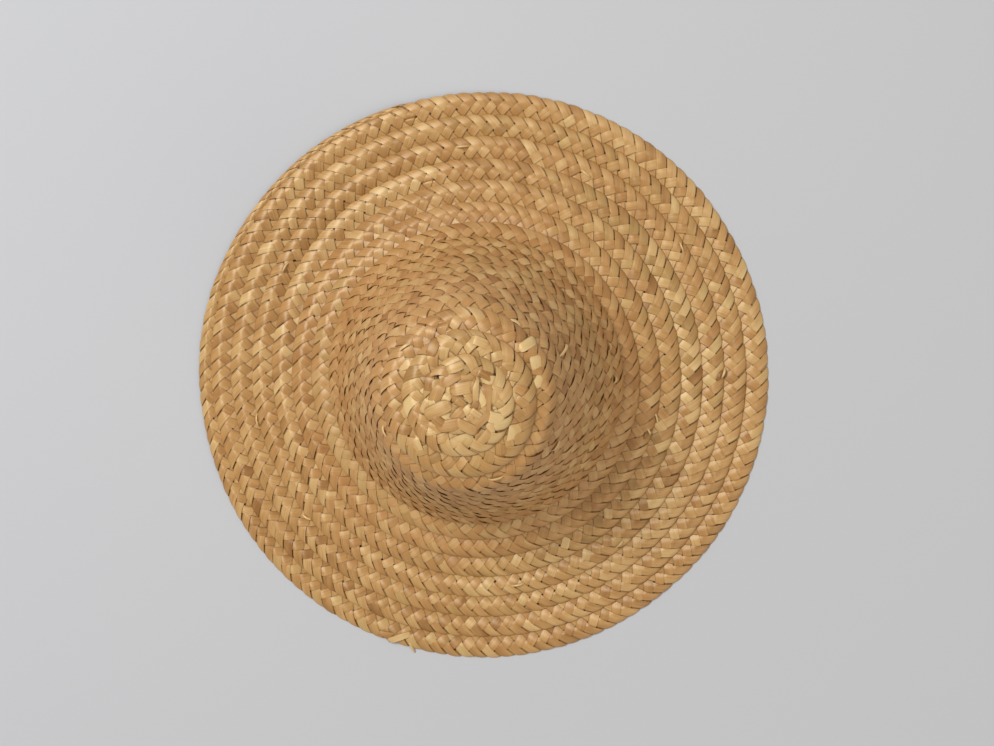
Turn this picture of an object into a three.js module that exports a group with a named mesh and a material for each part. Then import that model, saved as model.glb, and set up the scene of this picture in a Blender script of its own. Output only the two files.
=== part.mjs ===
import * as THREE from "three";

// A plaited straw sun hat. One flat plait of straw is sewn round and round, from the middle of the
// crown out to the rim, and each turn laps over the next one outside it, like shingles on a roof.
// The hat rests on the flat underside of its rim. Millimetres, +Z up, +Y to the hat's front, with
// the origin on the ground under the middle of the outline.

// Crown and brim
const HEAD_RADIUS = 90; // foot of the crown's side, for a 56 cm head
const CROWN_DEPTH = 120; // top of the crown down to the root of the brim
const BRIM_RADIUS = 185; // axis to the rim, where the last turn of plait begins
const SHOULDER_RADIUS = 24; // round shoulder between the crown's cap and its side
const FOOT_RADIUS = 28; // hollow bend between the crown's side and the brim
const RIM_FLAT = 40; // outer part of the brim that lies at one slope
const CAP_SLOPE = THREE.MathUtils.degToRad(27); // where the cap runs into the shoulder
const SIDE_SLOPE = THREE.MathUtils.degToRad(68); // the side leans in by 22 degrees
const ROOT_SLOPE = THREE.MathUtils.degToRad(20); // where the brim leaves the crown

// Plait
const PLAIT_WIDTH = 21;
const PLAIT_THICKNESS = 1.4;
const LAP = 6.6; // how far a turn reaches under the turn inside it
const START_RADIUS = 12; // outer edge of the plait where it starts, in the middle of the crown
const END_ANGLE = THREE.MathUtils.degToRad(105); // where the plait ends, at the rim
const SEAM_GAP = 0.4; // clearance between one sub-part's turns and the next one's
const TURN_STEPS = 60; // facets in one turn
const CLIMB = 0.1; // part of a turn in which the last one climbs over its own end
const LEVEL_ROWS = 2.2; // rows of plait, in from the rim, that the brim's waves leave alone

// The last turn's outer edge, in rows outside where that turn began. It goes on outwards as the
// turns before it did, then is drawn back in until its end is tucked away under the rim.
const RIM_EDGE = [
  { turn: 0.0, rows: 0.0 },
  { turn: 0.18, rows: 0.24 },
  { turn: 0.4, rows: 0.4 },
  { turn: 0.56, rows: 0.6 },
  { turn: 0.66, rows: 0.6 },
  { turn: 0.79, rows: 0.38 },
  { turn: 0.92, rows: 0.1 },
  { turn: 1.0, rows: 0.03 },
];

// Slow waves in the brim, which die away at its root and before its rim. The lift is in plait
// thicknesses.
const BRIM_WAVES = [
  { lobes: 2, crest: THREE.MathUtils.degToRad(40), lift: 1.3 },
  { lobes: 3, crest: THREE.MathUtils.degToRad(200), lift: 0.8 },
];

// Slight dents and bulges of the crown's side, in plait thicknesses outwards
const CROWN_WAVES = [
  { lobes: 2, crest: THREE.MathUtils.degToRad(100), lift: 0.9 },
  { lobes: 5, crest: THREE.MathUtils.degToRad(20), lift: 0.35 },
];

const STRAW = [0.68, 0.47, 0.26];
const STRAW_ROUGHNESS = 0.6;

// A turn of plait is tipped, because its inner edge lies under one turn and its outer edge on the
// next. The heights below are over the hat's mean surface, and the slope is the plait's tip on it,
// a little more where a gap lies between the turn and the one inside it.
const nominalPitch = PLAIT_WIDTH - LAP;
const innerTop = (-PLAIT_THICKNESS * LAP) / (2 * nominalPitch);
const tipWith = (gap) => (PLAIT_THICKNESS - 2 * innerTop + gap) / PLAIT_WIDTH;
const rimSlope = Math.atan(tipWith(SEAM_GAP)); // so the last turn lies level

// The cap's radius and the side's length are what the crown's depth and head radius leave.
function solveCrown() {
  const across = HEAD_RADIUS - SHOULDER_RADIUS * (Math.sin(SIDE_SLOPE) - Math.sin(CAP_SLOPE));
  const shoulderDrop = SHOULDER_RADIUS * (Math.cos(CAP_SLOPE) - Math.cos(SIDE_SLOPE));
  const footDrop = FOOT_RADIUS * (Math.cos(ROOT_SLOPE) - Math.cos(SIDE_SLOPE));
  const down = CROWN_DEPTH - shoulderDrop - footDrop;
  const capDrop = 1 - Math.cos(CAP_SLOPE);
  const spread = Math.sin(CAP_SLOPE) * Math.sin(SIDE_SLOPE) - capDrop * Math.cos(SIDE_SLOPE);
  const capRadius = (across * Math.sin(SIDE_SLOPE) - down * Math.cos(SIDE_SLOPE)) / spread;
  const sideLength = (down * Math.sin(CAP_SLOPE) - across * capDrop) / spread;
  return { capRadius, sideLength };
}

const { capRadius, sideLength } = solveCrown();
const shoulderLength = SHOULDER_RADIUS * (SIDE_SLOPE - CAP_SLOPE);
const footLength = FOOT_RADIUS * (SIDE_SLOPE - ROOT_SLOPE);
const brimStart = HEAD_RADIUS + FOOT_RADIUS * (Math.sin(SIDE_SLOPE) - Math.sin(ROOT_SLOPE));
const brimWidth = BRIM_RADIUS - RIM_FLAT - brimStart;
const brimBend = brimWidth / (Math.sin(ROOT_SLOPE) - Math.sin(rimSlope));

// The hat's mean profile from the crown's top outwards, in arcs and straight stretches. A bend is
// the radius of an arc: it steepens the slope where it is positive and flattens it where negative.
const PROFILE = [
  { name: "cap", slope: 0, bend: capRadius, length: capRadius * CAP_SLOPE },
  { name: "shoulder", slope: CAP_SLOPE, bend: SHOULDER_RADIUS, length: shoulderLength },
  { name: "side", slope: SIDE_SLOPE, bend: Infinity, length: sideLength },
  { name: "foot", slope: SIDE_SLOPE, bend: -FOOT_RADIUS, length: footLength },
  { name: "brim", slope: ROOT_SLOPE, bend: -brimBend, length: brimBend * (ROOT_SLOPE - rimSlope) },
  { name: "rim", slope: rimSlope, bend: Infinity, length: RIM_FLAT / Math.cos(rimSlope) },
];

function arcTo(name) {
  let arc = 0;
  for (const stretch of PROFILE) {
    arc += stretch.length;
    if (stretch.name === name) return arc;
  }
  return arc;
}

// Radius, drop and slope of the mean profile at a length of arc from the crown's top
function profileAt(arc) {
  let left = arc;
  let radius = 0;
  let drop = 0;
  for (const stretch of PROFILE) {
    const last = stretch === PROFILE[PROFILE.length - 1];
    const run = last ? left : Math.min(left, stretch.length);
    const turned = run / stretch.bend;
    const slope = stretch.slope + turned;
    if (turned === 0) {
      radius += run * Math.cos(slope);
      drop += run * Math.sin(slope);
    } else {
      radius += stretch.bend * (Math.sin(slope) - Math.sin(stretch.slope));
      drop += stretch.bend * (Math.cos(stretch.slope) - Math.cos(slope));
    }
    left -= run;
    if (last || left <= 0) return { radius, drop, slope };
  }
  return { radius, drop, slope: 0 };
}

// Where the sub-parts end, in turns of plait from the start
const rimArc = arcTo("rim");
const regularTurns = Math.round((rimArc - START_RADIUS) / nominalPitch);
const rowPitch = (rimArc - START_RADIUS) / regularTurns;
const turnsTo = (arc) => Math.round((arc - START_RADIUS) / rowPitch);
const tipTurns = turnsTo(arcTo("cap") + (arcTo("shoulder") - arcTo("cap")) / 2);
const sideTurns = turnsTo(arcTo("foot"));

function rimRows(turn) {
  const next = RIM_EDGE.findIndex((row) => row.turn >= turn);
  if (next < 1) return RIM_EDGE[Math.max(next, 0)].rows;
  const before = RIM_EDGE[next - 1];
  const after = RIM_EDGE[next];
  const share = THREE.MathUtils.smoothstep(turn, before.turn, after.turn);
  return before.rows + (after.rows - before.rows) * share;
}

// Arc lengths of the plait's two edges, a number of turns from its start
function outerEdge(turn) {
  const rows = turn > regularTurns ? rimRows(turn - regularTurns) : 0;
  return START_RADIUS + rowPitch * (Math.min(turn, regularTurns) + rows);
}

function innerEdge(turn) {
  return turn < 1 ? 0 : outerEdge(turn - 1) - LAP;
}

const angleAt = (turn) => END_ANGLE - 2 * Math.PI * turn;

function sumWaves(waves, angle) {
  const heightOf = (wave) => wave.lift * Math.cos(wave.lobes * (angle - wave.crest));
  return PLAIT_THICKNESS * waves.reduce((sum, wave) => sum + heightOf(wave), 0);
}

// Each turn lies one thickness lower than the one before it. Near the rim that stair is let down,
// so the last turn lies level on the ground, except where it climbs over its own end.
function stairDrop(angle) {
  const turn = THREE.MathUtils.euclideanModulo((END_ANGLE - angle) / (2 * Math.PI), 1);
  return rowPitch * Math.sin(rimSlope) * (1 - turn) * THREE.MathUtils.smoothstep(turn, 0, CLIMB);
}

// A point at a height over the mean surface
function pointOn(arc, angle, height) {
  const { radius, drop, slope } = profileAt(arc);
  const root = arcTo("foot");
  const levelStart = rimArc - LEVEL_ROWS * rowPitch;
  const midway = (root + levelStart) / 2;
  const rise = THREE.MathUtils.smoothstep(arc, root, midway);
  const fall = 1 - THREE.MathUtils.smoothstep(arc, midway, levelStart);
  const rimShare = THREE.MathUtils.smoothstep(arc, root, levelStart);
  const sideShare = Math.sin(Math.PI * THREE.MathUtils.clamp(arc / root, 0, 1)) ** 2;
  const out = radius + height * Math.sin(slope) + sumWaves(CROWN_WAVES, angle) * sideShare;
  const lift = sumWaves(BRIM_WAVES, angle) * rise * fall - stairDrop(angle) * rimShare;
  return new THREE.Vector3(
    out * Math.cos(angle),
    out * Math.sin(angle),
    height * Math.cos(slope) - drop + lift,
  );
}

// One sub-part: a stretch of the wound plait as one stepped wall. Station i stands for a place
// i facets along the plait from its start, with a corner at each edge of the plait's two sides.
// Neighbouring turns share the corners where they lap, so the wall is solid through its seams.
// Its first turn keeps a clearance below the sub-part inside it, and its last turn covers the
// next one's first turn, so those two have a corner more, where the seam is.
function makeWall(fromTurn, toTurn) {
  const first = fromTurn * TURN_STEPS;
  const last = toTurn * TURN_STEPS;
  const single = toTurn - fromTurn === 1;
  const underSeam = fromTurn > 0;
  const overSeam = toTurn <= regularTurns;
  const positions = [];
  const indices = [];
  const known = new Map();

  const innerAt = (station) => innerEdge(station / TURN_STEPS);
  const outerAt = (station) => outerEdge(station / TURN_STEPS);

  // The angle of a station. This stretch of plait starts a clearance past the end of the one
  // before it, and the last of them ends a clearance short of a whole turn, so its start is free.
  function turnedTo(station) {
    const endGap = SEAM_GAP / (2 * Math.PI * profileAt(outerAt(station)).radius);
    let turn = station / TURN_STEPS;
    if (station === first && underSeam) turn += endGap;
    if (station === last && !overSeam) turn -= endGap;
    return angleAt(turn);
  }

  function corner(name, station, arc, height) {
    const key = `${name} ${station}`;
    if (!known.has(key)) {
      known.set(key, positions.length / 3);
      positions.push(...pointOn(arc, turnedTo(station), height).toArray());
    }
    return known.get(key);
  }

  const clearance = (i) => (underSeam && i <= first + TURN_STEPS ? SEAM_GAP : 0);
  const startGap = (i) => (underSeam && i === first ? SEAM_GAP : 0);

  function outerTop(i) {
    const width = innerAt(i) > 0 ? outerAt(i) - innerAt(i) : PLAIT_WIDTH;
    return innerTop - clearance(i) + tipWith(clearance(i)) * width;
  }

  function topOut(i) {
    return corner("topOut", i, outerAt(i), outerTop(i));
  }

  function underOut(i) {
    return corner("underOut", i, outerAt(i), outerTop(i) - PLAIT_THICKNESS - startGap(i));
  }

  function topIn(i) {
    if (innerAt(i) === 0) return corner("topCentre", 0, 0, 0);
    return corner("topIn", i, innerAt(i), innerTop - clearance(i));
  }

  function underIn(i) {
    if (innerAt(i) === 0) return corner("underCentre", 0, 0, -PLAIT_THICKNESS);
    return corner("underIn", i, innerAt(i), innerTop - PLAIT_THICKNESS - clearance(i));
  }

  // The seams, where the turn inside ends on this one, and where this one ends on the turn outside
  function topSeam(i) {
    if (i === first + TURN_STEPS && !single) return underOut(first);
    const inside = i - TURN_STEPS;
    return corner("topSeam", i, outerAt(inside), outerTop(inside) - PLAIT_THICKNESS - SEAM_GAP);
  }

  function underSeamOf(i) {
    if (i === last - TURN_STEPS && !single) return topIn(last);
    return corner("underSeam", i, outerAt(i) - LAP, innerTop);
  }

  function topChain(i, joined) {
    if (joined) return [underOut(i - TURN_STEPS), topOut(i)];
    const seam = underSeam || i === first + TURN_STEPS;
    return seam ? [topIn(i), topSeam(i), topOut(i)] : [topIn(i), topOut(i)];
  }

  function underChain(i, joined) {
    if (joined) return [underIn(i), topIn(i + TURN_STEPS)];
    return overSeam ? [underIn(i), underSeamOf(i), underOut(i)] : [underIn(i), underOut(i)];
  }

  // A face of three to five corners, fanned from its first one
  function face(...corners) {
    for (let k = 1; k + 1 < corners.length; k += 1) {
      const triangle = [corners[0], corners[k], corners[k + 1]];
      if (new Set(triangle).size === 3) indices.push(...triangle);
    }
  }

  // Faces between two rows of corners
  function sheet(from, to) {
    if (from.length === to.length) {
      for (let k = 0; k + 1 < from.length; k += 1) face(from[k], to[k], to[k + 1], from[k + 1]);
    } else if (from.length < to.length) {
      face(...from.toReversed(), ...to);
    } else {
      face(...to, ...from.toReversed());
    }
  }

  for (let i = first; i < last; i += 1) {
    const next = i + 1;
    const joinsInside = i >= first + TURN_STEPS;
    const joinsOutside = next <= last - TURN_STEPS;
    sheet(topChain(i, joinsInside), topChain(next, joinsInside));
    sheet(underChain(next, joinsOutside), underChain(i, joinsOutside));
    face(underOut(i), topOut(i), topOut(next), underOut(next));
    face(underIn(i), underIn(next), topIn(next), topIn(i));
  }
  const startUnder = [underIn(first), topIn(first + TURN_STEPS), underOut(first)];
  const endTop = [topIn(last), underOut(last - TURN_STEPS), topOut(last)];
  sheet(single ? underChain(first, false) : startUnder, topChain(first, false));
  sheet(single ? topChain(last, false) : endTop, underChain(last, false));

  const geometry = new THREE.BufferGeometry();
  geometry.setAttribute("position", new THREE.Float32BufferAttribute(positions, 3));
  geometry.setIndex(indices);
  geometry.computeVertexNormals();
  return geometry;
}

function makePiece(name, fromTurn, toTurn, shade) {
  const colour = new THREE.Color(...STRAW).multiplyScalar(shade);
  const material = new THREE.MeshStandardMaterial({ color: colour, roughness: STRAW_ROUGHNESS });
  const mesh = new THREE.Mesh(makeWall(fromTurn, toTurn), material);
  mesh.name = name;
  return mesh;
}

const hat = new THREE.Group();
hat.add(makePiece("crown_tip", 0, tipTurns, 1.0));
hat.add(makePiece("crown_side", tipTurns, sideTurns, 0.9));
hat.add(makePiece("brim", sideTurns, regularTurns, 1.0));
hat.add(makePiece("brim_edge", regularTurns, regularTurns + 1, 0.92));

const box = new THREE.Box3().setFromObject(hat);
const middle = box.getCenter(new THREE.Vector3());
hat.position.set(-middle.x, -middle.y, -box.min.z);

export default hat;
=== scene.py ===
import math

import bpy
import numpy as np
from mathutils import Matrix, Vector


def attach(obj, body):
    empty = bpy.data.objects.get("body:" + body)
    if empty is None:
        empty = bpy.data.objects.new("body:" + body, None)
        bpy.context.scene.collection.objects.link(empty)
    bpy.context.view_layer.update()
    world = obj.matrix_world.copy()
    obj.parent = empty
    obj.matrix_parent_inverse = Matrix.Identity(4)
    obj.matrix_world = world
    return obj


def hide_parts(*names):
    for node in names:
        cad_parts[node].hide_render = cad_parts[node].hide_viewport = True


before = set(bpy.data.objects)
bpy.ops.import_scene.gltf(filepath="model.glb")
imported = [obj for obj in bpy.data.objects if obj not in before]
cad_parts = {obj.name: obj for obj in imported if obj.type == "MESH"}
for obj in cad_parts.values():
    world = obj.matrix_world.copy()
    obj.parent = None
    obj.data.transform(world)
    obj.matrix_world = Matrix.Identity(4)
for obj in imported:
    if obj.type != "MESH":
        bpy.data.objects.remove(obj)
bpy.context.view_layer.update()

# The hat's form, in millimetres, as the solids have it
MM = 0.001
HEAD_RADIUS = 90.0
CROWN_DEPTH = 120.0
BRIM_RADIUS = 185.0
SHOULDER_RADIUS = 24.0
FOOT_RADIUS = 28.0
RIM_FLAT = 40.0
CAP_SLOPE = math.radians(27)
SIDE_SLOPE = math.radians(68)
ROOT_SLOPE = math.radians(20)
PLAIT_WIDTH = 21.0
PLAIT_THICKNESS = 1.4
LAP = 6.6
START_RADIUS = 12.0
END_ANGLE = math.radians(105)
SEAM_GAP = 0.4
CLIMB = 0.1
LEVEL_ROWS = 2.2
PLACE = (0.319, 3.93, 135.135)  # from the crown's top, on the spiral's axis, to the solids' origin
RIM_EDGE_TURNS = [0.0, 0.18, 0.4, 0.56, 0.66, 0.79, 0.92, 1.0]
RIM_EDGE_ROWS = [0.0, 0.24, 0.4, 0.6, 0.6, 0.38, 0.1, 0.03]
BRIM_WAVES = [(2, math.radians(40), 1.3), (3, math.radians(200), 0.8)]  # lobes, crest, lift
CROWN_WAVES = [(2, math.radians(100), 0.9), (5, math.radians(20), 0.35)]

# The plait: four strands of flat straw, which cross in three columns
STRANDS = 4
COLUMN = PLAIT_WIDTH / STRANDS  # between the columns, across the plait
CELL = 8.9  # from one strand to the next, along the plait
ZIG = 2 * CELL  # along the plait while a strand goes across it once
STRAW_HALF = 4.08  # half a strand's width, measured along the plait
STRAW_THICK = 0.42
WEAVE = 0.56  # how far a strand rises and dips as it passes over and under
DOME = 2.35  # how far the middle of a turn's bare part stands over its edges, on the brim
CROWN_DOME = 0.33  # the part of it that the crown's turns have
TIP_DOME = 0.4  # and what the first turns have more
TIP_DOME_TURNS = (2.0, 4.5)  # the turns over which that fades
ROOF_BEND = 1.4  # how round the roof of a turn's bare part is, where 1 is a sharp ridge
PRESS = 0.45  # how far a turn's outer edge is pressed into the turn below it
PRESS_FROM = 0.84  # the share of the plait's width where that begins
FOLD_ROUND = 1.1  # how soon a strand comes round at the plait's edge
CREST_FLAT = 0.3  # how flat a strand lies where it passes over or under
EDGE_THIN = 0.75  # how much thinner a straw is at its sides
BRIM_JUMBLE = 1.25  # how uneven the plait is
TIP_JUMBLE = 1.05  # and how much more so on the crown's top, where it was begun
TIP_JUMBLE_TURNS = (1.0, 6.0)  # the turns over which that fades
UNEVEN = {
    # kind: how much, over what length along the plait, random seed
    "seam": (1.0, 55, 11),
    "ripple": (0.14, 21, 12),
    "fine ripple": (0.1, 9, 13),
    "width": (0.07, 46, 20),
    "sway": (0.22, 13, 30),
    "fold": (0.3, 17, 40),
    "common pull": (0.7, 60, 50),
    "pull": (0.4, 11, 60),
    "rise": (0.25, 8, 70),
    "twist": (0.2, 11, 90),
}
RIPPLE_SLANT = 40  # how far the fine ripples run along the plait while they cross it
SEAM_WANDER = 0.35  # how far the seams wander
START_WANDER = 0.5  # and how much more in the first turns
START_WANDER_TURNS = (0.5, 3)  # the turns over which that fades
FOLD_CURVE = 0.45  # how far a strand's fold at the plait's edge is rounded
CLOSER = 0.05  # the part by which the strands on the crown's side are wider

# The straw's tone from 0, brown, to 1, pale, and how much of the warm brown and green tints it has
STRAW_TONE = 0.5
STRAW_TONE_SPREAD = 0.11  # from one straw to the next
ZIG_TONE_SPREAD = 0.085  # from one zig to the next
TIP_TONE_SPREAD = 0.12  # on the crown's top
WARM_SPREAD = 0.25
GREEN_MIDDLE = -0.1
GREEN_SPREAD = 0.25
CROWN_PAINTED_SHADE = 0.38  # painted shade: the warm brown that the crown's side has more, for the deeper colour of its shaded slopes
STRAW_LASTS = (5, 14)  # zigs that a strand's straw lasts before the next is laid in
STRAND_SEED = 80
GRAIN_SHIFT = 37.0  # from strand to strand, so that no two have the same streaks

# The straws' middles lie this low at the least, so that the rim's straws lie flat on the floor
FLATTEST = 0.25
STATIONS = np.array([-2, -1.94, -1.8, -1.5, -1, -0.65, -0.35, 0, 0.35, 0.65, 1, 1.5, 1.8, 1.94])
SIDES = np.array([-1, -0.5, 0, 0.5, 1])
RING_SIDES = np.array([-1, -0.5, 0, 0.5, 1, 0.5, 0, -0.5])


def smooth(value, low, high):
    """From 0 at low to 1 at high, with soft ends"""
    part = np.clip((value - low) / (high - low), 0.0, 1.0)
    return part * part * (3 - 2 * part)


def wobble(place, step, seed):
    """Smooth random values from -1 to 1, a new one at every step of the place"""
    place = np.maximum(place, 0.0) / step
    values = np.random.default_rng(seed).uniform(-1, 1, int(place.max()) + 3)
    cell = np.floor(place).astype(int)
    part = smooth(place - cell, 0.0, 1.0)
    return values[cell] * (1 - part) + values[cell + 1] * part


def uneven(place, kind, number=0):
    """Smooth random change of one kind at a place along the plait"""
    amount, step, seed = UNEVEN[kind]
    return amount * wobble(place, step, seed + number)


# The mean profile from the crown's top outwards: slope at its start, radius of its bend and length
nominal_pitch = PLAIT_WIDTH - LAP
inner_top = -PLAIT_THICKNESS * LAP / (2 * nominal_pitch)
plait_tip = (PLAIT_THICKNESS - 2 * inner_top) / PLAIT_WIDTH
rim_slope = math.atan((PLAIT_THICKNESS - 2 * inner_top + SEAM_GAP) / PLAIT_WIDTH)


def hat_profile():
    """The stretches of the profile, whose lengths follow from the crown's depth and the radii"""
    across = HEAD_RADIUS - SHOULDER_RADIUS * (math.sin(SIDE_SLOPE) - math.sin(CAP_SLOPE))
    shoulder_drop = SHOULDER_RADIUS * (math.cos(CAP_SLOPE) - math.cos(SIDE_SLOPE))
    foot_drop = FOOT_RADIUS * (math.cos(ROOT_SLOPE) - math.cos(SIDE_SLOPE))
    down = CROWN_DEPTH - shoulder_drop - foot_drop
    cap_drop = 1 - math.cos(CAP_SLOPE)
    spread = math.sin(CAP_SLOPE) * math.sin(SIDE_SLOPE) - cap_drop * math.cos(SIDE_SLOPE)
    cap = (across * math.sin(SIDE_SLOPE) - down * math.cos(SIDE_SLOPE)) / spread
    side = (down * math.sin(CAP_SLOPE) - across * cap_drop) / spread
    brim_start = HEAD_RADIUS + FOOT_RADIUS * (math.sin(SIDE_SLOPE) - math.sin(ROOT_SLOPE))
    brim_width = BRIM_RADIUS - RIM_FLAT - brim_start
    brim = brim_width / (math.sin(ROOT_SLOPE) - math.sin(rim_slope))
    return [
        (0.0, cap, cap * CAP_SLOPE),
        (CAP_SLOPE, SHOULDER_RADIUS, SHOULDER_RADIUS * (SIDE_SLOPE - CAP_SLOPE)),
        (SIDE_SLOPE, math.inf, side),
        (SIDE_SLOPE, -FOOT_RADIUS, FOOT_RADIUS * (SIDE_SLOPE - ROOT_SLOPE)),
        (ROOT_SLOPE, -brim, brim * (ROOT_SLOPE - rim_slope)),
        (rim_slope, math.inf, RIM_FLAT / math.cos(rim_slope)),
    ]


PROFILE = hat_profile()
shoulder_arc = sum(row[2] for row in PROFILE[:2])
foot_arc = sum(row[2] for row in PROFILE[:4])
rim_arc = sum(row[2] for row in PROFILE)
regular_turns = round((rim_arc - START_RADIUS) / nominal_pitch)
row_pitch = (rim_arc - START_RADIUS) / regular_turns
cap_middle = (PROFILE[0][2] + shoulder_arc) / 2
tip_turns = round((cap_middle - START_RADIUS) / row_pitch)
side_turns = round((foot_arc - START_RADIUS) / row_pitch)


def along_stretch(row, run):
    """Way out, way down and slope after a run along one stretch of the profile"""
    lean, bend, _ = row
    if bend == math.inf:
        return run * math.cos(lean), run * math.sin(lean), lean
    tilt = lean + run / bend
    return bend * (np.sin(tilt) - math.sin(lean)), bend * (math.cos(lean) - np.cos(tilt)), tilt


def profile_at(arc):
    """Radius, drop and slope of the mean profile at lengths of arc from the crown's top"""
    radius, drop, slope = np.zeros_like(arc), np.zeros_like(arc), np.zeros_like(arc)
    start, base_out, base_down = 0.0, 0.0, 0.0
    for row in PROFILE:
        here = arc >= start
        out, down, tilt = along_stretch(row, arc - start)
        radius = np.where(here, base_out + out, radius)
        drop = np.where(here, base_down + down, drop)
        slope = np.where(here, tilt, slope)
        out, down, _ = along_stretch(row, row[2])
        start, base_out, base_down = start + row[2], base_out + out, base_down + down
    return radius, drop, slope


def rim_rows(turn):
    """How many rows the last turn's outer edge stands out past the rim, against turns since its start"""
    rows = np.zeros_like(turn)
    ends = list(zip(RIM_EDGE_TURNS, RIM_EDGE_ROWS))
    for (low, first), (high, second) in zip(ends, ends[1:]):
        here = (turn > low) & (turn <= high)
        rows[here] = (first + (second - first) * smooth(turn, low, high))[here]
    rows[turn > 1] = RIM_EDGE_ROWS[-1]
    return rows


def outer_edge(turn):
    """Arc of the plait's outer edge at a number of turns from its start"""
    return START_RADIUS + row_pitch * (np.minimum(turn, regular_turns) + rim_rows(turn - regular_turns))


def inner_edge(turn):
    """Arc of the plait's inner edge, which lies under the turn inside it"""
    start = np.maximum(outer_edge(turn) - row_pitch - LAP, 0.0)
    return np.where(turn < 1, start, outer_edge(turn - 1) - LAP)


def sum_waves(waves, angle):
    """Lift of a few soft waves round the hat"""
    return PLAIT_THICKNESS * sum(lift * np.cos(lobes * (angle - crest)) for lobes, crest, lift in waves)


def point_on(arc, turn, height):
    """A point at a height over the mean surface, in metres"""
    arc = np.maximum(arc, 0.0)
    radius, drop, slope = profile_at(arc)
    angle = END_ANGLE - 2 * math.pi * turn
    level_start = rim_arc - LEVEL_ROWS * row_pitch
    midway = (foot_arc + level_start) / 2
    brim_share = smooth(arc, foot_arc, midway) * (1 - smooth(arc, midway, level_start))
    side_share = np.sin(math.pi * np.clip(arc / foot_arc, 0, 1)) ** 2
    part = np.mod(turn, 1.0)
    stair = row_pitch * math.sin(rim_slope) * (1 - part) * smooth(part, 0, CLIMB)
    out = radius + height * np.sin(slope) + sum_waves(CROWN_WAVES, angle) * side_share
    lift = sum_waves(BRIM_WAVES, angle) * brim_share - stair * smooth(arc, foot_arc, level_start)
    up = np.maximum(height * np.cos(slope) - drop + lift, FLATTEST - PLACE[2])
    place = np.stack([out * np.cos(angle), out * np.sin(angle), up], axis=-1)
    return (place + np.array(PLACE)) * MM


# Length along the plait's middle, from its start, against turns. In the first turn, where the plait
# is gathered, its middle is at the most this far inside its outer edge.
START_MIDDLE = 6
turn_steps = np.linspace(0, regular_turns + 1, 6000)
middle_arc = (outer_edge(turn_steps) + inner_edge(turn_steps)) / 2
start_radius = profile_at(outer_edge(turn_steps) - START_MIDDLE)[0]
middle_radius = np.maximum(profile_at(middle_arc)[0], start_radius)
step_lengths = 2 * math.pi * (middle_radius[1:] + middle_radius[:-1]) / 2 * np.diff(turn_steps)
plait_lengths = np.concatenate([[0.0], np.cumsum(step_lengths)])
plait_length = plait_lengths[-1]


def turn_at(along):
    """Turns from the plait's start at a length along it"""
    return np.interp(along, plait_lengths, turn_steps)


def dome_at(share, turn):
    """Height of the plait's roof, at a share of its width from its inner edge"""
    bare = np.clip((share * PLAIT_WIDTH - LAP) / (PLAIT_WIDTH - LAP), 0.0, 1.0)
    full = CROWN_DOME + (1 - CROWN_DOME) * smooth(turn, side_turns - 3, side_turns + 2)
    full = full + TIP_DOME * (1 - smooth(turn, *TIP_DOME_TURNS))
    roof = 1 - np.abs(2 * bare - 1) ** ROOF_BEND
    return DOME * full * roof - PRESS * smooth(share, PRESS_FROM, 1.0)


def plait_point(along, across, height):
    """A point of the plait: millimetres along it, across it from its middle, and over its middle layer"""
    turn = turn_at(along)
    outer = outer_edge(turn)
    width = outer - inner_edge(turn)
    share = across / PLAIT_WIDTH + 0.5
    loose = 1 - smooth(turn, regular_turns - 1, regular_turns)
    wander = SEAM_WANDER + START_WANDER * (1 - smooth(turn, *START_WANDER_TURNS))
    shift = wander * uneven(along, "seam") * loose
    arc = outer - width * (1 - share) + shift
    lean = inner_top - PLAIT_THICKNESS / 2 + plait_tip * (row_pitch + LAP - (outer - arc))
    dome = dome_at(share, turn)
    ripple = uneven(along, "ripple") + uneven(along + RIPPLE_SLANT * share, "fine ripple")
    return point_on(arc, turn, lean + dome + height + ripple * loose)


def jumble_at(along):
    """How uneven the plait is at a length along it"""
    turn = turn_at(along)
    return BRIM_JUMBLE + TIP_JUMBLE * (1 - smooth(turn, *TIP_JUMBLE_TURNS))


def crown_share(along):
    """1 on the crown's side, where the straw is packed closer and browned as painted shade, and 0 off it
    """
    turn = turn_at(along)
    return smooth(turn, tip_turns - 1, tip_turns + 1) * (1 - smooth(turn, side_turns, side_turns + 3))


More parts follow.
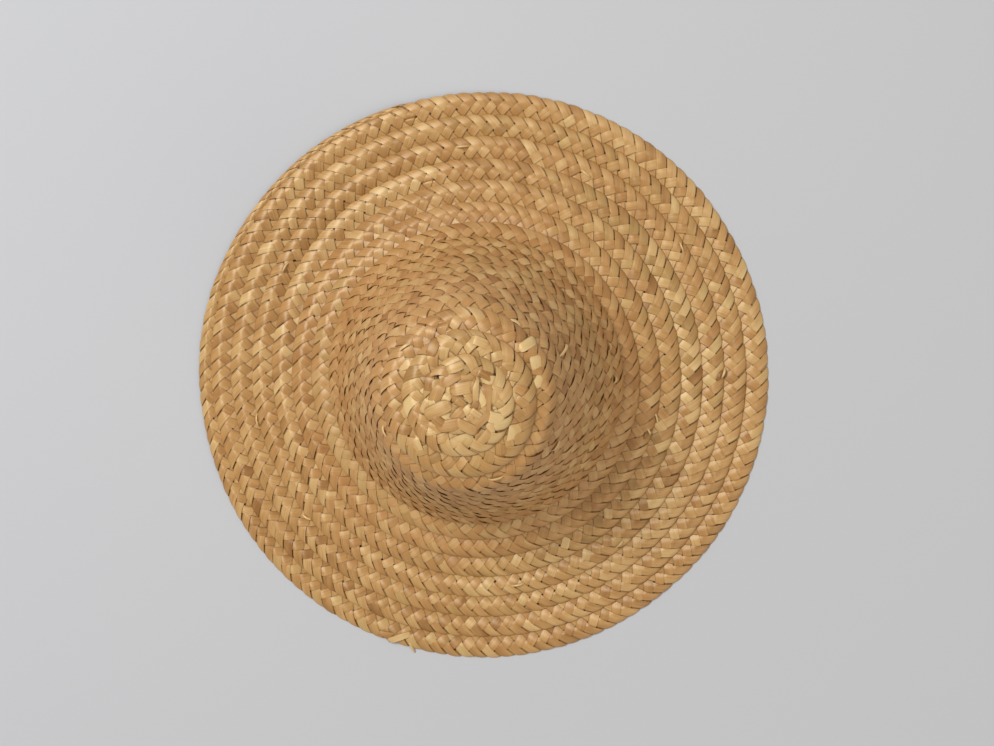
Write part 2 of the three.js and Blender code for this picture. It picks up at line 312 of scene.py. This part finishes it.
def strand_rungs(number):
    """One strand as rungs of five points across it, with its own way along and across"""
    zigs = np.arange(int(plait_length / ZIG) + 2)
    station = np.tile(STATIONS, len(zigs))
    zig = np.repeat(zigs, len(STATIONS))
    way = np.where(zig % 2 == 0, 1.0, -1.0)
    middle = zig * ZIG + (station + 2) * CELL / 2 - number * CELL
    keep = (middle > STRAW_HALF) & (middle < plait_length - STRAW_HALF)
    station, zig, way, middle = station[keep], zig[keep], way[keep], middle[keep]
    jumble = jumble_at(middle)
    wider = CLOSER * crown_share(middle)
    half = STRAW_HALF * (1 + jumble * uneven(middle, "width", number) + wider)
    side = half[:, None] * SIDES[None, :]
    near_edge = smooth(np.abs(station), 1.0, 2.0)[:, None]
    across = (way * station * COLUMN)[:, None] * np.ones_like(side)
    sway = (jumble * uneven(middle, "sway", number))[:, None] * (1 - near_edge)
    bulge = uneven(middle, "fold", number)[:, None] - FOLD_CURVE * SIDES[None, :] ** 2
    across = across + sway + np.sign(across) * near_edge * bulge
    pull = uneven(middle, "common pull") + jumble * uneven(middle, "pull", number)
    along = middle[:, None] + side + pull[:, None]
    crossing = np.clip(station[:, None] + side / CELL, -1.0, 1.0)
    phase = -np.cos(math.pi * crossing)
    phase = phase * (1 + CREST_FLAT - CREST_FLAT * phase ** 2)
    from_edge = (PLAIT_WIDTH / 2 - np.abs(way * station * COLUMN))[:, None]
    rounding = np.sqrt(1 - np.clip(1 - from_edge / FOLD_ROUND, 0, 1) ** 2)
    rise = WEAVE * (1 + jumble * uneven(middle, "rise", number))[:, None]
    twist = (jumble * uneven(middle, "twist", number))[:, None] * SIDES[None, :]
    height = -way[:, None] * rise * phase * rounding + twist
    return middle, zig, side, plait_point(along, across, height)


def straw_shades(zig, middle, seed):
    """Tone, warmth and greenness of the straw that each zig of a strand is cut from, with more warm brown
    on the crown's side as painted shade
    """
    rng = np.random.default_rng(seed)
    count = zig.max() + 1
    joins = np.cumsum(rng.integers(*STRAW_LASTS, count))
    straw = np.searchsorted(joins, np.arange(count), side="right")
    tone = rng.normal(STRAW_TONE, STRAW_TONE_SPREAD, count)[straw]
    tone = tone + rng.normal(0, ZIG_TONE_SPREAD, count)
    patchy = rng.normal(0, TIP_TONE_SPREAD, count)[zig] * (jumble_at(middle) - BRIM_JUMBLE)
    warm = rng.normal(0, WARM_SPREAD, count)[straw]
    green = rng.normal(GREEN_MIDDLE, GREEN_SPREAD, count)[straw]
    # The crown's side gets more warm brown as painted shade
    warmth_and_painted_shade = np.clip(warm[zig], 0, 1) + CROWN_PAINTED_SHADE * crown_share(middle)
    return np.clip(np.stack([tone[zig] + patchy, warmth_and_painted_shade, green[zig]], axis=-1), 0, 1)


def lens_loops(sheet):
    """Rungs of eight points round a straw's section, from rungs of five points across its middle"""
    normal = np.cross(np.gradient(sheet, axis=0), np.gradient(sheet, axis=1))
    normal /= np.maximum(np.linalg.norm(normal, axis=-1, keepdims=True), 1e-12)
    half_thick = STRAW_THICK / 2 * MM * (1 - EDGE_THIN * SIDES ** 2)[None, :, None]
    upper = sheet + normal * half_thick
    lower = sheet - normal * half_thick
    return np.concatenate([sheet[:, :1], upper[:, 1:4], sheet[:, 4:], lower[:, 3:0:-1]], axis=1)


def ring_of(values):
    """Values at five points across a straw, set out for the eight points round it"""
    return np.concatenate([values[:, :1], values[:, 1:4], values[:, 4:], values[:, 3:0:-1]], axis=1)


strands = []
for number in range(STRANDS):
    middle, zig, side, sheet = strand_rungs(number)
    ring_side = ring_of(side)
    lengthwise = math.sqrt(2) * middle[:, None] + ring_side / math.sqrt(2)
    crosswise = ring_side / math.sqrt(2)
    grain = np.stack([lengthwise, crosswise, np.full_like(crosswise, GRAIN_SHIFT * number)], axis=-1)
    shade = np.repeat(straw_shades(zig, middle, STRAND_SEED + number)[:, None, :], 8, axis=1)
    strands.append({
        "turn": turn_at(middle),
        "loops": lens_loops(sheet),
        "grain": grain,
        "shade": shade,
    })


STRAW_COLOURS = [(0.0, (0.29, 0.125, 0.03)), (0.5, (0.53, 0.29, 0.099)), (1.0, (0.74, 0.52, 0.235))]
# Warm brown for the straws' random warmth and for the painted shade on the crown's side
WARM_BROWN_AND_PAINTED_SHADE = (0.46, 0.2, 0.06)
GREENISH = (0.44, 0.35, 0.12)
# Painted shadow for the slits between the strands, laid along one side of each straw
SLIT_PAINTED_SHADOW = (0.12, 0.055, 0.015)
MOST_WARM_AND_PAINTED_SHADE = 0.7  # how much of the warm brown, random warmth and painted shade together, a straw has at the most
MOST_GREENISH = 0.6
MOST_SLIT_PAINTED_SHADOW = 0.75
SLIT_PAINTED_SHADOW_FROM = 0.8  # where the painted slit shadow begins, from a straw's middle at 0 to its side at 1
SLIT_PAINTED_SHADOW_FULL = 0.98
STREAKS = ((0.035, 2.6, 1.0), 4.0)  # scale along, across and from strand to strand, and detail
BLOTCHES = ((0.05, 0.16, 1.0), 2.0)
STREAK_TONE = 0.85  # how much the streaks change the tone
BLOTCH_TONE = 0.9
GLOSS = {
    "IOR": 1.52,
    "Specular IOR Level": 0.82,
    "Specular Tint": (1.0, 0.88, 0.69, 1.0),
    "Anisotropic": 0.75,
}
SMOOTHEST = 0.32  # the straw's roughness, from here
ROUGHEST = 0.5  # to here
FIBRE_STRENGTH = 0.35
FIBRE_HEIGHT = 0.06  # in millimetres


def straw_material():
    """Semi-gloss straw, streaked along its fibres, with painted shadow along one side of each strand for
    the slits between strands
    """
    material = bpy.data.materials.new("plaited_straw")
    material.use_nodes = True
    nodes = material.node_tree.nodes
    links = material.node_tree.links
    shader = nodes["Principled BSDF"]
    for label, value in GLOSS.items():
        shader.inputs[label].default_value = value

    def add(kind, **values):
        node = nodes.new(kind)
        for name, value in values.items():
            setattr(node, name, value)
        return node

    shade = add("ShaderNodeAttribute", attribute_name="shade")
    grain = add("ShaderNodeAttribute", attribute_name="grain")
    across = add("ShaderNodeAttribute", attribute_name="across")
    links.new(across.outputs["Vector"], shader.inputs["Tangent"])
    split = add("ShaderNodeSeparateXYZ")
    links.new(shade.outputs["Vector"], split.inputs[0])

    def noise(scale, detail):
        place = add("ShaderNodeMapping")
        place.inputs["Scale"].default_value = scale
        links.new(grain.outputs["Vector"], place.inputs["Vector"])
        pattern = add("ShaderNodeTexNoise")
        pattern.inputs["Scale"].default_value = 1.0
        pattern.inputs["Detail"].default_value = detail
        links.new(place.outputs["Vector"], pattern.inputs["Vector"])
        return pattern.outputs["Fac"]

    def maths(operation, first, second):
        node = add("ShaderNodeMath", operation=operation)
        for socket, value in zip(node.inputs, (first, second)):
            if isinstance(value, float):
                socket.default_value = value
            else:
                links.new(value, socket)
        return node.outputs[0]

    streaks = noise(*STREAKS)
    blotches = noise(*BLOTCHES)
    streak_part = maths("MULTIPLY", maths("SUBTRACT", streaks, 0.5), STREAK_TONE)
    blotch_part = maths("MULTIPLY", maths("SUBTRACT", blotches, 0.5), BLOTCH_TONE)
    tone = maths("ADD", maths("ADD", split.outputs["X"], streak_part), blotch_part)

    ramp = add("ShaderNodeValToRGB")
    links.new(tone, ramp.inputs["Fac"])
    ramp.color_ramp.elements.new(STRAW_COLOURS[1][0])
    for element, (position, colour) in zip(ramp.color_ramp.elements, STRAW_COLOURS):
        element.position = position
        element.color = (*colour, 1.0)

    def mixed(factor, first, colour):
        node = add("ShaderNodeMix", data_type="RGBA")
        first_colour, second_colour = node.inputs[6], node.inputs[7]
        links.new(factor, node.inputs["Factor"])
        links.new(first, first_colour)
        second_colour.default_value = (*colour, 1.0)
        return node.outputs[2]

    warm_and_shade_part = maths("MULTIPLY", split.outputs["Y"], MOST_WARM_AND_PAINTED_SHADE)
    green_part = maths("MULTIPLY", split.outputs["Z"], MOST_GREENISH)
    warmed_and_shaded = mixed(warm_and_shade_part, ramp.outputs["Color"], WARM_BROWN_AND_PAINTED_SHADE)
    greened = mixed(green_part, warmed_and_shaded, GREENISH)
    # Painted shadow of the slits between strands: dark brown along one side of each straw, by the edge
    # attribute
    edge = add("ShaderNodeAttribute", attribute_name="edge")
    slit_painted_shadow = add("ShaderNodeMapRange")
    slit_painted_shadow.inputs["From Min"].default_value = SLIT_PAINTED_SHADOW_FROM
    slit_painted_shadow.inputs["From Max"].default_value = SLIT_PAINTED_SHADOW_FULL
    slit_painted_shadow.inputs["To Max"].default_value = MOST_SLIT_PAINTED_SHADOW
    links.new(edge.outputs["Fac"], slit_painted_shadow.inputs["Value"])
    with_slit_painted_shadow = mixed(slit_painted_shadow.outputs["Result"], greened, SLIT_PAINTED_SHADOW)
    links.new(with_slit_painted_shadow, shader.inputs["Base Color"])

    rough = add("ShaderNodeMapRange")
    rough.inputs["To Min"].default_value = SMOOTHEST
    rough.inputs["To Max"].default_value = ROUGHEST
    links.new(blotches, rough.inputs["Value"])
    links.new(rough.outputs["Result"], shader.inputs["Roughness"])

    bump = add("ShaderNodeBump")
    bump.inputs["Strength"].default_value = FIBRE_STRENGTH
    bump.inputs["Distance"].default_value = FIBRE_HEIGHT * MM
    links.new(streaks, bump.inputs["Height"])
    links.new(bump.outputs["Normal"], shader.inputs["Normal"])
    return material


def across_fibre(loops):
    """The direction across a straw's fibres at each point of its rungs"""
    along = np.gradient((loops[:, 0] + loops[:, 4]) / 2, axis=0)
    along /= np.maximum(np.linalg.norm(along, axis=-1, keepdims=True), 1e-12)
    side = loops[:, 4] - loops[:, 0]
    side -= along * np.sum(side * along, axis=-1, keepdims=True)
    side /= np.maximum(np.linalg.norm(side, axis=-1, keepdims=True), 1e-12)
    return np.repeat(side[:, None, :], 8, axis=1)


def make_mesh(name, nodes, straws, material):
    """Straws, each a run of eight-point rungs, as one mesh"""
    points, grains, shades, acrosses, faces = [], [], [], [], []
    count = 0
    for one in straws:
        rungs = len(one["loops"])
        points.append(one["loops"].reshape(-1, 3))
        grains.append(one["grain"].reshape(-1, 3))
        shades.append(one["shade"].reshape(-1, 3))
        acrosses.append(across_fibre(one["loops"]).reshape(-1, 3))
        corner = count + 8 * np.arange(rungs - 1)[:, None] + np.arange(8)[None, :]
        beside = count + 8 * np.arange(rungs - 1)[:, None] + (np.arange(8)[None, :] + 1) % 8
        quads = np.stack([corner, beside, beside + 8, corner + 8], axis=-1).reshape(-1, 4)
        faces += quads.tolist()
        faces.append([count + k for k in reversed(range(8))])
        faces.append([count + 8 * (rungs - 1) + k for k in range(8)])
        count += 8 * rungs
    mesh = bpy.data.meshes.new(name)
    mesh.from_pydata(np.concatenate(points).tolist(), [], faces)
    # Across each straw from -1 to 1; its +1 side carries the painted slit shadow
    edges = np.tile(RING_SIDES, count // 8).astype(np.float32)
    mesh.attributes.new("edge", "FLOAT", "POINT").data.foreach_set("value", edges)
    for label, values in (("grain", grains), ("shade", shades), ("across", acrosses)):
        layer = mesh.attributes.new(label, "FLOAT_VECTOR", "POINT")
        layer.data.foreach_set("vector", np.concatenate(values).astype(np.float32).ravel())
    ends = np.zeros(len(mesh.edges) * 2, np.int32)
    mesh.edges.foreach_get("vertices", ends)
    ends = ends.reshape(-1, 2) % 8
    sharp = (ends[:, 0] == ends[:, 1]) & (ends[:, 0] % 4 == 0)
    layer = mesh.attributes.new("sharp_edge", "BOOLEAN", "EDGE")
    layer.data.foreach_set("value", sharp)
    mesh.polygons.foreach_set("use_smooth", np.ones(len(mesh.polygons), bool))
    mesh.materials.append(material)
    mesh.update()
    piece = bpy.data.objects.new(name, mesh)
    bpy.context.scene.collection.objects.link(piece)
    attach(piece, "root")
    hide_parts(*nodes)
    return piece


def make_piece(name, nodes, from_turn, to_turn, material):
    """The strands of a stretch of the plait as one mesh"""
    cuts = []
    for strand in strands:
        first = int(np.searchsorted(strand["turn"], from_turn))
        last = min(int(np.searchsorted(strand["turn"], to_turn)), len(strand["turn"]) - 1)
        cuts.append({key: strand[key][first:last + 1] for key in ("loops", "grain", "shade")})
    return make_mesh(name, nodes, cuts, material)


# Short straws at the plait's start, where it is gathered, folded and tucked in. Places are in
# millimetres from the spiral's axis, seen from above, with x to the right and y to the front.
START_STRAWS = [
    # x, y, degrees, length, width, rise, tone
    (13.5, 0.5, 85, 21.0, 7.0, 0.6, 0.4),
    (2.9, 13.5, 2, 19.0, 6.0, 0.6, 0.6),
    (-14.5, -5.2, 25, 18.0, 8.0, 0.7, 0.6),
    (-7.5, -13.2, 12, 17.0, 7.0, 0.6, 0.45),
    (1.6, -14.3, -25, 16.0, 6.5, 0.7, 0.6),
    (10.3, -10.6, 42, 19.0, 6.5, 0.7, 0.45),
    (-13.2, -11.0, -35, 12.0, 5.5, 0.8, 0.25),
    (-14.6, 4.5, 65, 15.0, 7.0, 0.6, 0.45),
    (-7.0, 12.5, 30, 16.0, 6.5, 0.7, 0.4),
    (1.2, 8.2, 12, 17.5, 7.2, 1.0, 0.5),
    (-8.4, 6.6, -35, 11.0, 5.0, 1.0, 0.95),
    (-11.0, 0.6, 50, 11.0, 5.6, 1.0, 0.85),
    (-4.2, 3.4, 60, 12.0, 5.6, 1.1, 0.4),
    (-7.6, -3.6, -20, 13.0, 5.6, 1.1, 0.6),
    (-2.6, -8.4, 45, 13.0, 6.4, 1.2, 0.5),
    (-1.0, -1.8, -42, 13.0, 5.6, 1.2, 0.35),
    (3.4, -4.8, 40, 10.0, 4.8, 1.3, 0.95),
    (4.0, 2.6, -55, 11.0, 5.0, 1.4, 0.6),
    (7.6, -7.2, -35, 10.0, 4.6, 1.3, 0.7),
    (7.4, -1.4, 60, 9.0, 4.2, 1.4, 0.1),
    (8.0, 6.2, 88, 17.0, 3.6, 1.8, 0.75),
    (6.3, 9.0, 75, 12.0, 2.2, 1.9, 0.3),
    (-1.2, 2.6, 15, 10.0, 4.6, 1.6, 0.25),
    (18.8, 2.7, 80, 12.0, 5.4, 0.7, 0.55),
    (19.3, -9.5, -15, 13.0, 7.0, 0.9, 1.0),
    (13.0, 15.5, -30, 12.0, 5.0, 0.8, 0.2),
    (-4.0, 19.5, 20, 12.0, 5.2, 0.8, 0.7),
    (-19.0, 10.0, 80, 12.0, 5.4, 0.8, 0.3),
    (-21.5, -3.0, 60, 12.0, 5.0, 0.8, 0.75),
    (-16.5, -16.0, -25, 13.0, 5.2, 0.8, 0.65),
    (-1.6, -22.4, 20, 13.0, 5.0, 0.8, 0.9),
    (12.0, -20.5, 50, 12.0, 5.0, 0.8, 0.7),
    (27.2, -20.5, 75, 12.0, 5.0, 0.8, 0.95),
    (30.0, 3.0, 70, 11.0, 5.4, 0.7, 0.8),
    (24.0, 17.0, 110, 11.0, 5.0, 0.7, 0.25),
    (36.8, 32.0, 30, 11.0, 6.0, 0.8, 0.9),
    (41.8, 21.5, 100, 10.0, 6.2, 0.8, 0.95),
    (43.5, 11.0, 60, 10.0, 5.6, 0.8, 1.0),
    (10.0, 33.0, -20, 12.0, 5.2, 0.8, 0.75),
    (-17.0, 30.0, 65, 12.0, 5.6, 0.8, 0.2),
    (-34.0, 20.0, 20, 12.0, 5.6, 0.8, 0.85),
    (-36.0, -7.0, 100, 12.0, 5.4, 0.8, 0.7),
    (-27.0, -27.0, -70, 12.0, 5.2, 0.8, 0.8),
]

# The plait's splice near the rim, a nick, a small split and loose fibres that stand off the hat,
# with their places as above
STRAY_STRAWS = [
    # x, y, degrees, length, width, rise, tone
    (-57.0, -179.0, 20, 17.0, 4.6, 1.5, 0.85),
    (-49.0, -185.0, -68, 12.0, 1.5, 1.2, 0.9),
    (-66.0, -177.0, -8, 14.0, 4.0, 1.2, 0.3),
    # The nick: its straw of tone 0 is painted shade for the gap, beside a pale straw
    (108.0, -38.0, 60, 7.0, 2.2, 1.4, 0.0),
    (110.5, -35.5, 115, 6.0, 1.6, 1.6, 1.0),
    # The small split: its straw of tone 0 is painted shade for the gap, beside a pale straw
    (157.0, 0.0, 62, 9.0, 1.8, 1.8, 0.0),
    (159.5, 1.5, 70, 8.0, 1.4, 2.2, 1.0),
    (116.0, -27.0, 105, 10.0, 1.3, 2.2, 1.0),
    (88.0, 1.0, 80, 6.0, 1.4, 2.0, 1.0),
    (57.0, 26.0, 60, 8.0, 1.5, 1.8, 1.0),
    (84.0, 22.0, 95, 6.0, 1.3, 2.0, 0.95),
    (30.0, 44.0, 150, 10.0, 1.4, 1.8, 1.0),
    (-34.0, 30.0, 35, 9.0, 1.5, 1.6, 0.95),
    (-48.0, -20.0, 110, 9.0, 1.3, 1.6, 1.0),
    (18.0, -46.0, 15, 10.0, 1.5, 1.7, 0.95),
    (52.0, -30.0, 50, 9.0, 1.4, 1.9, 1.0),
    (-128.0, 72.0, 60, 9.0, 1.1, 2.4, 1.0),
    (-150.0, -30.0, 95, 10.0, 1.2, 2.3, 0.95),
    (-118.0, -96.0, 150, 9.0, 1.3, 2.4, 1.0),
    (-10.0, 150.0, 5, 10.0, 1.1, 2.4, 1.0),
    (70.0, 132.0, 140, 9.0, 1.2, 2.3, 0.95),
    (132.0, 84.0, 110, 8.0, 1.2, 2.4, 1.0),
    (24.0, -140.0, 12, 10.0, 1.3, 2.3, 1.0),
    (92.0, -112.0, 50, 9.0, 1.2, 2.4, 0.95),
]
LOOSE_STEPS = 13  # rungs along a loose straw
LOOSE_TAPER = 0.35  # how much narrower its ends are
LOOSE_SWAY = 0.04  # how far it bends aside, against its length
LOOSE_TILT = 0.3  # how far one side of it is lifted
LOOSE_CAMBER = 0.15  # how far its sides are lower than its middle
LOOSE_LIFT = 0.3  # how high it lies on the plait
LOOSE_TUCK = 1.1  # how far its ends are tucked down
LOOSE_TUCK_FROM = 0.6  # from its middle at 0 to its end at 1
LOOSE_SEED = 300
LOOSE_GRAIN_SHIFT = 50  # from one to the next
profile_arcs = np.linspace(0.0, rim_arc + row_pitch, 400)
profile_radii = profile_at(profile_arcs)[0]


def cover_height(arc, turn):
    """Height of the plait's middle layer over the mean surface, at a place on the bare hat"""
    part = np.mod(turn, 1.0)
    rows = np.clip(np.ceil((arc - START_RADIUS) / row_pitch - part), 0, regular_turns)
    from_edge = START_RADIUS + row_pitch * (part + rows) - arc
    lean = inner_top - PLAIT_THICKNESS / 2 + plait_tip * (row_pitch + LAP - from_edge)
    return lean + dome_at(1 - from_edge / PLAIT_WIDTH, part + rows)


def loose_straw(row, seed):
    """One short straw on the hat, with its ends tucked down into the plait"""
    x, y, degrees, length, width, rise, tone = row
    run = np.linspace(-1, 1, LOOSE_STEPS)[:, None]
    lean = math.radians(degrees)
    rng = np.random.default_rng(seed)
    sway = rng.uniform(-LOOSE_SWAY, LOOSE_SWAY) * length * (1 - run ** 2)
    across = SIDES[None, :] * width / 2 * (1 - LOOSE_TAPER * run ** 4) + sway
    ahead = run * length / 2 * np.ones_like(across)
    place_x = x + ahead * math.cos(lean) - across * math.sin(lean)
    place_y = y + ahead * math.sin(lean) + across * math.cos(lean)
    arc = np.interp(np.hypot(place_x, place_y), profile_radii, profile_arcs)
    turn = (END_ANGLE - np.arctan2(place_y, place_x)) / (2 * math.pi)
    arc_there = np.interp(math.hypot(x, y), profile_radii, profile_arcs)
    base = cover_height(arc_there, (END_ANGLE - math.atan2(y, x)) / (2 * math.pi))
    tilt = rng.uniform(-LOOSE_TILT, LOOSE_TILT) * SIDES[None, :]
    tuck = LOOSE_TUCK * smooth(np.abs(run), LOOSE_TUCK_FROM, 1.0)
    camber = LOOSE_CAMBER * SIDES[None, :] ** 2
    height = base + rise * (1 - run ** 2) - tuck + LOOSE_LIFT + tilt - camber
    sheet = point_on(arc, turn, height)
    return lens_loops(sheet), ahead, across, tone


def make_loose(name, nodes, rows, material):
    """The straws of a table as one mesh"""
    straws = []
    for seed, row in enumerate(rows):
        loops, ahead, across, tone = loose_straw(row, LOOSE_SEED + seed)
        lengthwise = ring_of(ahead) + LOOSE_GRAIN_SHIFT * seed
        grain = np.stack([lengthwise, ring_of(across), ring_of(0 * ahead)], axis=-1)
        shade = np.zeros_like(grain)
        shade[..., 0] = tone
        straws.append({"loops": loops, "grain": grain, "shade": shade})
    return make_mesh(name, nodes, straws, material)


straw = straw_material()
brim_middle = (side_turns + regular_turns) / 2
last_turn = regular_turns + 1.0
make_piece("straw_crown_tip", ["crown_tip"], 0.0, tip_turns, straw)
make_piece("straw_crown_side", ["crown_side"], tip_turns, side_turns, straw)
make_piece("straw_brim_root", ["brim"], side_turns, brim_middle, straw)
make_piece("straw_brim", ["brim"], brim_middle, regular_turns, straw)
make_piece("straw_brim_edge", ["brim_edge"], regular_turns, last_turn, straw)
make_loose("straw_start", ["crown_tip"], START_STRAWS, straw)
make_loose("stray_straws", ["crown_side", "brim"], STRAY_STRAWS, straw)

# A plain pale floor
bpy.ops.object.select_all(action="DESELECT")
bpy.ops.mesh.primitive_plane_add(size=40, location=(0, 0, 0))
floor = bpy.context.object
floor.name = "floor"
pale = bpy.data.materials.new("pale_floor")
pale.use_nodes = True
pale.node_tree.nodes["Principled BSDF"].inputs["Base Color"].default_value = (0.56, 0.575, 0.61, 1)
pale.node_tree.nodes["Principled BSDF"].inputs["Roughness"].default_value = 0.9
floor.data.materials.append(pale)

# The photo's view: almost straight down on the crown, a little from the right and from the top
VIEW_ASIDE = math.radians(4)
VIEW_UP = math.radians(6.5)
VIEW_DISTANCE = 1.05
FOCAL_PIXELS = 1575
PICTURE_WIDTH = 994
MIDDLE_PIXEL = (-16.5, -7.5)  # the hat's middle from the picture's middle, right and up

back = Vector((math.tan(VIEW_ASIDE), math.tan(VIEW_UP), 1)).normalized()
right = (Vector((1, 0, 0)) - back * back.x).normalized()
up = back.cross(right)
camera_data = bpy.data.cameras.new("camera")
camera_data.sensor_width = 36
camera_data.lens = 36 * FOCAL_PIXELS / PICTURE_WIDTH
camera_data.clip_start = 0.05
camera = bpy.data.objects.new("camera", camera_data)
bpy.context.scene.collection.objects.link(camera)
pixel = VIEW_DISTANCE / FOCAL_PIXELS
place = back * VIEW_DISTANCE - right * MIDDLE_PIXEL[0] * pixel - up * MIDDLE_PIXEL[1] * pixel
camera.matrix_world = Matrix.Translation(place) @ Matrix((right, up, back)).transposed().to_4x4()
bpy.context.scene.camera = camera


def soft_light(name, place, size, power, colour):
    """A square soft light that faces the hat"""
    data = bpy.data.lights.new(name, "AREA")
    data.shape = "SQUARE"
    data.size = size
    data.energy = power
    data.color = colour
    lamp = bpy.data.objects.new(name, data)
    bpy.context.scene.collection.objects.link(lamp)
    lamp.location = place
    lamp.rotation_euler = Vector(place).to_track_quat("Z", "Y").to_euler()
    return lamp


soft_light("window", (-1.15, 1.05, 2.1), 1.0, 44, (1.0, 0.99, 0.97))
soft_light("fill", (1.3, -1.1, 1.2), 1.4, 8, (1.0, 0.87, 0.7))

world = bpy.data.worlds.new("room")
bpy.context.scene.world = world
world.use_nodes = True
world.node_tree.nodes["Background"].inputs["Color"].default_value = (1.0, 0.98, 0.95, 1)
world.node_tree.nodes["Background"].inputs["Strength"].default_value = 0.44
bpy.context.scene.view_settings.view_transform = "Standard"
